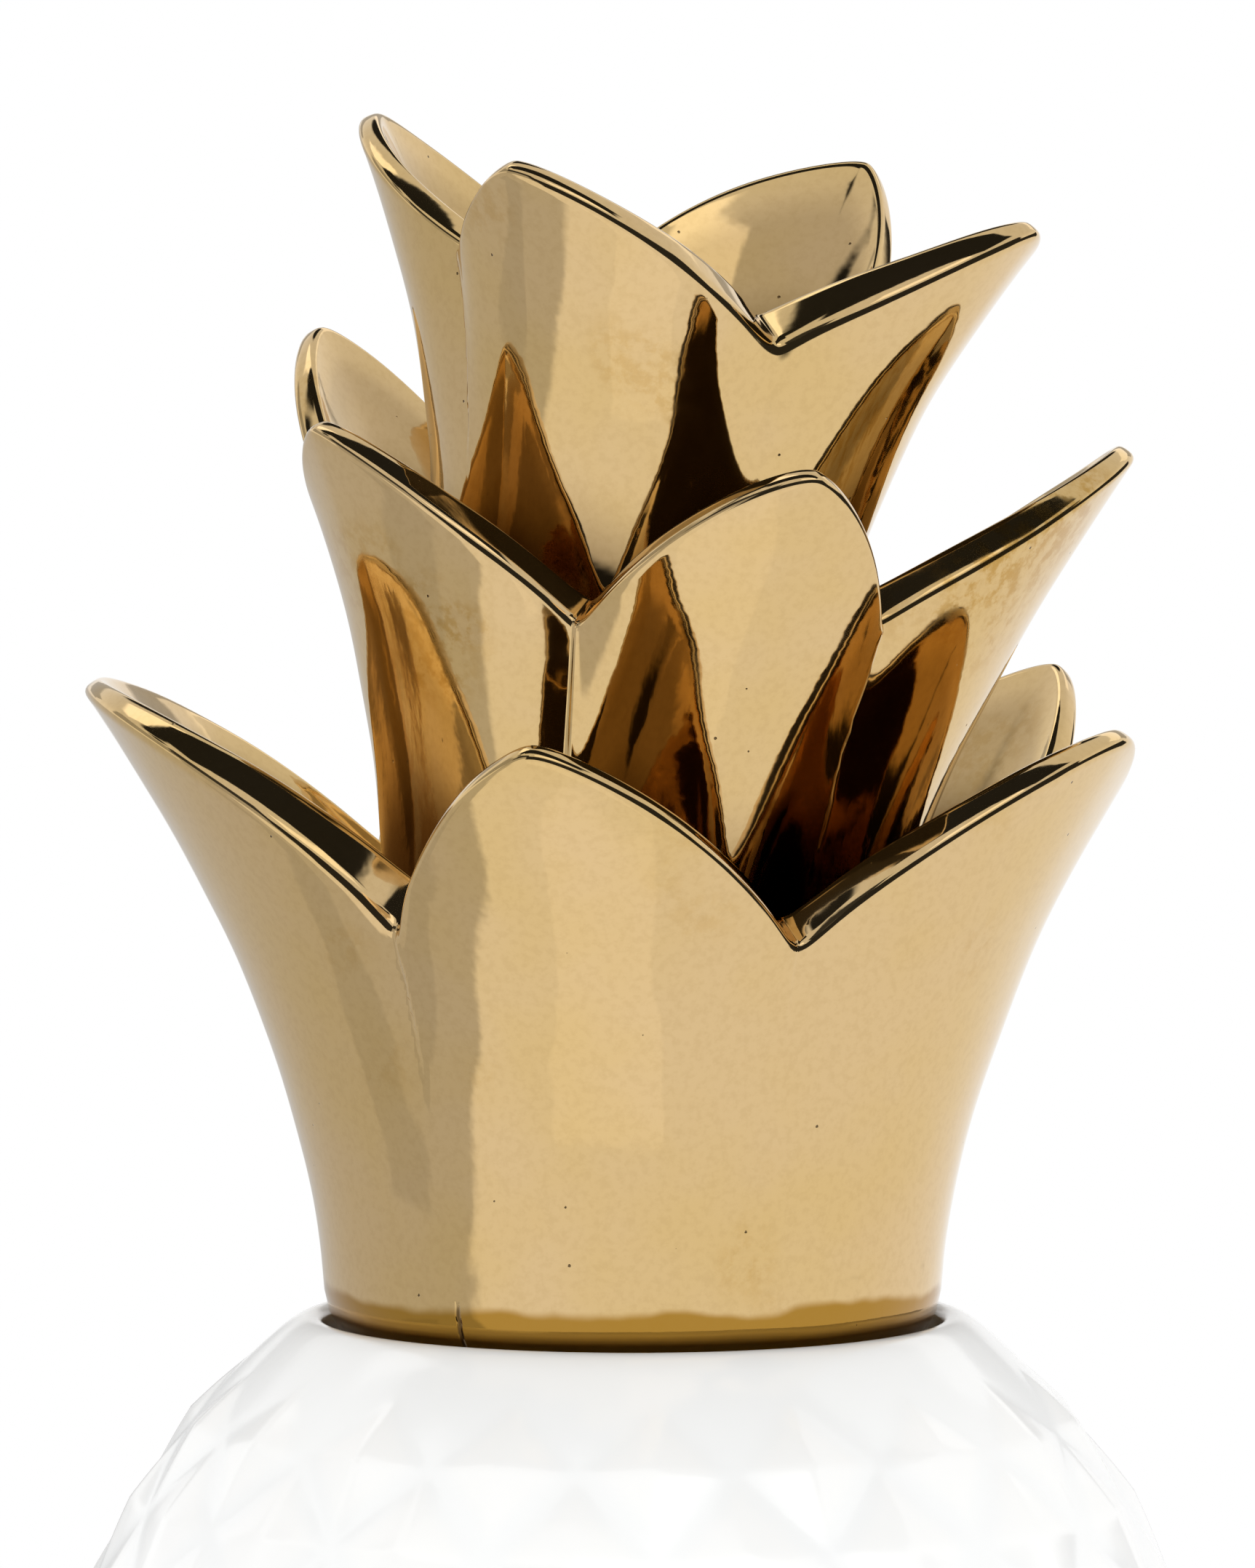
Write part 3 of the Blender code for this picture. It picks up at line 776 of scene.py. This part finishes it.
# %% Mix the white glaze
def white_glaze():
    material, tree, shader = new_material("white glaze", (0.88, 0.88, 0.87), Roughness=0.45, Coat_Weight=1.0,
                                          Coat_Roughness=0.12, Coat_IOR=1.5, Specular_IOR_Level=0.3)
    lift = make(tree, "ShaderNodeAttribute", attribute_name="lift").outputs["Fac"]
    pooled = spread(tree, lift, 0.0, 0.35, 1.0, 0.0)
    cloud = noise(tree, 0.03, 3.0)
    body = blend_colours(tree, cloud, (0.90, 0.90, 0.885), (0.87, 0.873, 0.87))
    body = tinted(tree, body, pooled, 0.35, (0.83, 0.85, 0.86))
    spots = specks(tree, 0.011, 0.00028, 0.35)
    body = tinted(tree, body, spots, 0.5, (0.35, 0.31, 0.26))
    tree.links.new(body, shader.inputs["Base Color"])
    tree.links.new(spread(tree, noise(tree, 0.006, 2.0), 0.3, 0.7, 0.38, 0.52), shader.inputs["Roughness"])
    peel = bump(tree, noise(tree, 0.0035, 2.0), 0.00006, 0.5)
    waves = bump(tree, noise(tree, 0.014, 1.0), 0.0004, 0.35, peel)
    tree.links.new(waves, shader.inputs["Coat Normal"])
    tree.links.new(waves, shader.inputs["Normal"])
    return material


white = white_glaze()
print("white glaze:", len(white.node_tree.nodes), "nodes")

# %% Run the node tree and keep its result
def keep_result(source, tree, name, values):
    """Runs a node tree on an object with the named values and returns the result as a plain mesh object."""
    modifier = source.modifiers.new(tree.name, "NODES")
    modifier.node_group = tree
    sockets = {item.name: item.identifier for item in tree.interface.items_tree if item.in_out == "INPUT"}
    for label, value in values.items():
        modifier[sockets[label]] = value
    evaluated = source.evaluated_get(bpy.context.evaluated_depsgraph_get())
    mesh = bpy.data.meshes.new_from_object(evaluated)
    mesh.name = name
    bpy.data.objects.remove(source)
    thing = bpy.data.objects.new(name, mesh)
    bpy.context.scene.collection.objects.link(thing)
    return thing


jar = keep_result(jar_outline, bpy.data.node_groups["Lay a jar round its section"], "glazed_jar", {
    "Columns": COLUMNS_PER_DIAMOND * DIAMONDS_AROUND, "Diamonds Around": DIAMONDS_AROUND,
    "Diamond Rows": DIAMOND_ROWS, "First Bearing": DIAMOND_BEARING, "Relief": DIAMOND_RELIEF,
    "Ridge Softness": 0.05, "Valley Softness": 0.12, "Glaze": white})
bm = bmesh.new()
bm.from_mesh(jar.data)
bmesh.ops.recalc_face_normals(bm, faces=bm.faces)
print("jar:", len(bm.faces), "faces, closed", all(edge.is_manifold for edge in bm.edges),
      "volume", round(1e6 * bm.calc_volume(signed=True), 1), "cm3")
bm.to_mesh(jar.data)
bm.free()
jar.data.shade_smooth()

# %% [markdown]
# ## Gold lustre
#
# Lustre is a film of real gold, fired on top of the glaze, so it is a metal with a mirror finish. It is
# worn in places, which shows as browner, duller mottling on two of the middle leaves. It has a fine grain
# all over, and dark pits where it missed the glaze. A short mould seam runs up the foot, browner than the
# gold round it. The band low on the foot is painted brown too: a painted reflection of the jar's shaded
# rim and of the dark gap under the crown. The troughs between the tiers, told by the crown's own hollow
# attribute, are painted darker, as painted shade. Each of these is a mask that tints the colour; the wear
# also dulls the film, and the pits and the seam dent it.

# %% Mix the gold lustre
THIN_GOLD = (0.69, 0.485, 0.215)
FULL_GOLD = (0.70, 0.50, 0.255)
WORN_GOLD = (0.52, 0.30, 0.07)
GRAIN_BROWN = (0.45, 0.29, 0.11)
PIT_BROWN = (0.06, 0.035, 0.015)
# Painted shade: the dark brown that tints the troughs between the tiers
TROUGH_SHADE_BROWN = (0.10, 0.05, 0.014)
# Painted reflection: the brown of the foot's band stands for the dark reflection of the jar's shaded rim and
# the gap
FOOT_REFLECTED_SHADE = (0.38, 0.195, 0.02)
SEAM_BROWN = (0.10, 0.06, 0.03)

# Where the film is worn: a point on the crown and how far the wear reaches
WORN_PLACES = [((-0.0225, -0.026, 0.190), 0.010), ((0.039, -0.018, 0.199), 0.016)]
# Heights between which the foot's brown, a painted reflection of the jar's shaded rim, fades; and the seam's
# bearing and its upper end
FOOT_SHADE_FADES = (0.1262, 0.1272)
SEAM_BEARING = -33.0
SEAM_TOP = 0.1293


def gold_lustre():
    material, tree, shader = new_material("gold lustre", (0.70, 0.50, 0.25), Metallic=1.0, Roughness=0.05)
    film = noise(tree, 0.022, 3.0, 0.55)
    film = spread(tree, film, 0.35, 0.65, 0.0, 1.0)
    colour = blend_colours(tree, film, THIN_GOLD, FULL_GOLD)
    patch = spread(tree, noise(tree, 0.017, 1.0), 0.60, 0.72, 0.0, 0.4)
    for middle, size in WORN_PLACES:
        patch = sum_up(tree, "MAXIMUM", patch, around_point(tree, middle, size))
    mottle = spread(tree, noise(tree, 0.0018, 4.0, 0.65), 0.42, 0.62, 0.15, 1.0)
    worn = sum_up(tree, "MULTIPLY", patch, mottle)
    colour = tinted(tree, colour, worn, 0.90, WORN_GOLD)
    grain = spread(tree, noise(tree, 0.0008, 3.0, 0.6), 0.40, 0.70, 0.0, 0.16)
    colour = blend_colours(tree, grain, colour, GRAIN_BROWN)
    pits = specks(tree, 0.0034, 0.00017, 0.35)
    colour = tinted(tree, colour, pits, 0.85, PIT_BROWN)
    # Painted shade: deep in the troughs, where shade falls, the gold is tinted dark brown
    hollow = make(tree, "ShaderNodeAttribute", attribute_name="hollow").outputs["Fac"]
    colour = tinted(tree, colour, hollow, 0.9, TROUGH_SHADE_BROWN)
    place = make(tree, "ShaderNodeTexCoord").outputs["Object"]
    axes = make(tree, "ShaderNodeSeparateXYZ")
    feed(tree, axes, Vector=place)
    # Painted reflection: the band low on the foot turns brown, standing for the dark reflection of the jar's
    # shaded rim and the gap under the crown
    wander = sum_up(tree, "MULTIPLY_ADD", noise(tree, 0.009, 2.0), -0.003, axes.outputs["Z"])
    foot = spread(tree, wander, *FOOT_SHADE_FADES, 1.0, 0.0)
    colour = tinted(tree, colour, foot, 0.92, FOOT_REFLECTED_SHADE)
    groove = seam(tree, axes.outputs, SEAM_BEARING, SEAM_TOP, 0.7)
    colour = tinted(tree, colour, groove, 0.75, SEAM_BROWN)
    tree.links.new(colour, shader.inputs["Base Color"])
    dull = spread(tree, noise(tree, 0.008, 3.0), 0.3, 0.75, 0.03, 0.065)
    dull = sum_up(tree, "ADD", dull, sum_up(tree, "MULTIPLY", worn, 0.10))
    tree.links.new(dull, shader.inputs["Roughness"])
    surface = bump(tree, noise(tree, 0.0028, 2.0), 0.00005, 0.35)
    surface = bump(tree, sum_up(tree, "SUBTRACT", 1.0, pits), 0.0001, 0.6, surface)
    surface = bump(tree, sum_up(tree, "SUBTRACT", 1.0, groove), 0.0003, 0.7, surface)
    tree.links.new(surface, shader.inputs["Normal"])
    return material


gold = gold_lustre()
crown.data.materials.append(gold)
print("gold lustre:", len(gold.node_tree.nodes), "nodes")

# %% [markdown]
# ## Studio light
#
# A mirror finish shows its surroundings, so the light is mostly a matter of what stands round the object.
# The photograph's gold tells what stood there: bright walls at both sides and behind, darker ones on the
# left, a few brighter softboxes above them, a dark room in front, where the camera stands, and a dark strip
# overhead. The world paints these by direction, with torn edges. Only mirror reflections see them: the
# camera and the dull surfaces see a plain white room, as in the photograph.

# %% Say what stands round the object
from mathutils import Vector

# Blocks of the surroundings: bearings and elevations in degrees, the softness of their edges, their
# brightness
STUDIO_BLOCKS = [
    ((-170, -64), (-95, 3), 6.0, 0.62),
    ((-100, -84), (-48, -25), 3.0, 0.54),
    ((-125, -84), (17, 33), 5.0, 0.42),
    ((-80, -28), (2, 24), 3.0, 0.50),
    ((-80, -25), (24, 41), 3.0, 0.05),
    ((-30, 12), (-68, -37), 2.0, 1.07),
    ((-2, 50), (43, 54), 4.0, 1.45),
    ((-150, -126), (45, 68), 4.0, 1.60),
    ((-30, 92), (-13, 28), 4.0, 0.03),
    ((92, 138), (-9, 12), 3.0, 0.03),
    ((150, 190), (12, 22), 2.0, 0.50),
    ((-190, -150), (12, 22), 2.0, 0.50),
    ((138, 190), (24, 34), 2.0, 1.30),
]
# Places overhead and behind where nothing is lit: a direction and how many degrees it reaches
DARK_PATCHES = [((-0.54, 0.19, 0.82), 6.0), ((-0.72, 0.05, 0.70), 3.0), ((0.0, 0.73, 0.68), 11.0)]
# The dark strip overhead: degrees from the front's horizon over the top, how much it slants, and its ends
# along X
STRIP_OVER = (73.0, 104.0)
STRIP_SLANT = 14.0
STRIP_ENDS = (-0.48, 0.62)
UNLIT = 0.02
# The walls' light, and the ceiling's; and how far, in degrees, a block's side edges wander
WALL_LIGHT = 1.0
CEILING_LIGHT = 0.82
TEAR = 16.0
# The plain room that dull surfaces see, and the one that the camera sees
ROOM_LIGHT = 1.18
BACKDROP_LIGHT = 1.0
print("studio:", len(STUDIO_BLOCKS), "blocks and", len(DARK_PATCHES), "dark patches")

# %% Paint the surroundings
def window(tree, value, low, high, soft):
    """1 between low and high, falling to 0 over a soft edge outside them."""
    rises = spread(tree, value, low - soft, low, 0.0, 1.0)
    falls = spread(tree, value, high, high + soft, 1.0, 0.0)
    return sum_up(tree, "MULTIPLY", rises, falls)


def level(tree, share, first, second):
    """A number that goes from first to second as share goes from 0 to 1."""
    node = make(tree, "ShaderNodeMix", data_type="FLOAT")
    feed(tree, node, Factor=share, in_2=first, in_3=second)
    return node.outputs[0]


def patch_of(tree, direction, toward, width, soft=4.0):
    """1 within this many degrees of a direction, falling to 0 over a soft edge outside them."""
    facing = make(tree, "ShaderNodeVectorMath", operation="DOT_PRODUCT")
    feed(tree, facing, in_0=direction)
    facing.inputs[1].default_value = Vector(toward).normalized()
    apart = sum_up(tree, "DEGREES", sum_up(tree, "ARCCOSINE", facing.outputs["Value"]))
    return spread(tree, apart, width, width + soft, 1.0, 0.0)


def block_of(tree, bearing, elevation, bearings, elevations, soft=4.0):
    """1 inside a block of bearings and elevations, falling to 0 over a soft edge outside it."""
    beside = window(tree, bearing, *bearings, soft)
    return sum_up(tree, "MULTIPLY", beside, window(tree, elevation, *elevations, soft))


def studio():
    world = bpy.data.worlds.new("studio")
    world.use_nodes = True
    tree = world.node_tree
    tree.nodes.clear()
    direction = make(tree, "ShaderNodeTexCoord").outputs["Generated"]
    axes = make(tree, "ShaderNodeSeparateXYZ")
    feed(tree, axes, Vector=direction)
    x, y, z = axes.outputs
    elevation = sum_up(tree, "DEGREES", sum_up(tree, "ARCSINE", z))
    bearing = sum_up(tree, "DEGREES", sum_up(tree, "ARCTAN2", x, sum_up(tree, "MULTIPLY", y, -1.0)))
    light = level(tree, spread(tree, elevation, 14.0, 40.0, 0.0, 1.0), WALL_LIGHT, CEILING_LIGHT)
    ragged = make(tree, "ShaderNodeTexNoise")
    feed(tree, ragged, Vector=direction, Scale=4.0, Detail=2.0)
    middle = sum_up(tree, "SUBTRACT", bearing, 0.5 * TEAR)
    torn = sum_up(tree, "MULTIPLY_ADD", ragged.outputs["Fac"], TEAR, middle)
    for bearings, elevations, soft, value in STUDIO_BLOCKS:
        light = level(tree, block_of(tree, torn, elevation, bearings, elevations, soft), light, value)
    for toward, width in DARK_PATCHES:
        light = level(tree, patch_of(tree, direction, toward, width), light, UNLIT)
    over = sum_up(tree, "DEGREES", sum_up(tree, "ARCTAN2", z, sum_up(tree, "MULTIPLY", y, -1.0)))
    slanted = sum_up(tree, "MULTIPLY_ADD", x, STRIP_SLANT, over)
    strip = window(tree, slanted, *STRIP_OVER, 2.0)
    strip = sum_up(tree, "MULTIPLY", strip, window(tree, x, *STRIP_ENDS, 0.04))
    light = level(tree, strip, light, UNLIT)
    rays = make(tree, "ShaderNodeLightPath")
    light = level(tree, rays.outputs["Is Glossy Ray"], ROOM_LIGHT, light)
    light = level(tree, rays.outputs["Is Camera Ray"], light, BACKDROP_LIGHT)
    background = make(tree, "ShaderNodeBackground")
    feed(tree, background, Strength=light)
    background.inputs["Color"].default_value = (1.0, 1.0, 1.0, 1.0)
    tree.links.new(background.outputs[0], make(tree, "ShaderNodeOutputWorld").inputs["Surface"])
    return world


bpy.context.scene.world = studio()
bpy.context.scene.world.cycles.sampling_method = "NONE"
bpy.context.scene.view_settings.view_transform = "Standard"
print("studio:", len(bpy.context.scene.world.node_tree.nodes), "nodes")

# %% Lay the floor
def floor(half_size):
    mesh = bpy.data.meshes.new("studio_floor")
    bm = bmesh.new()
    bmesh.ops.create_grid(bm, x_segments=1, y_segments=1, size=half_size)
    bm.to_mesh(mesh)
    bm.free()
    material, _, _ = new_material("pale floor", (0.9, 0.9, 0.9), Roughness=0.9, Specular_IOR_Level=0.1,
                                  Emission_Color=(1.0, 1.0, 1.0, 1.0), Emission_Strength=0.15)
    mesh.materials.append(material)
    thing = bpy.data.objects.new("studio_floor", mesh)
    bpy.context.scene.collection.objects.link(thing)
    thing.visible_glossy = False


FLOOR_SIZE = 1.4
floor(0.5 * FLOOR_SIZE)
print("floor:", FLOOR_SIZE, "m square")

# %% [markdown]
# ## The camera
#
# The photograph looks slightly down, by about five degrees, with a long lens. The lens is given in
# millimetres on a 36 mm sensor whose long side is the picture's height.

# %% Set up the camera
TARGET = Vector((-0.0005, 0.0, 0.1759))
DISTANCE = 1.6
LOOKS_DOWN = np.radians(5.0)
camera = bpy.data.objects.new("camera", bpy.data.cameras.new("camera"))
camera.data.lens = 385.0
camera.data.sensor_width = 36.0
camera.data.clip_start = 0.05
camera.data.clip_end = 20.0
forward = Vector((0.0, float(np.cos(LOOKS_DOWN)), -float(np.sin(LOOKS_DOWN))))
camera.location = TARGET - DISTANCE * forward
camera.rotation_euler = forward.to_track_quat("-Z", "Y").to_euler()
bpy.context.scene.collection.objects.link(camera)
bpy.context.scene.camera = camera
print("camera at", [round(value, 4) for value in camera.location])

# %% [markdown]
# ## Hand the pieces over
#
# Each fine skin stands for the solid under it and rides on the object's one body.

# %% Replace the solids
for piece, node, slot in ((jar, "jar_body", "white_glaze"), (crown, "crown_lid", "gold_lustre")):
    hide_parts(node)
    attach(piece, "root")
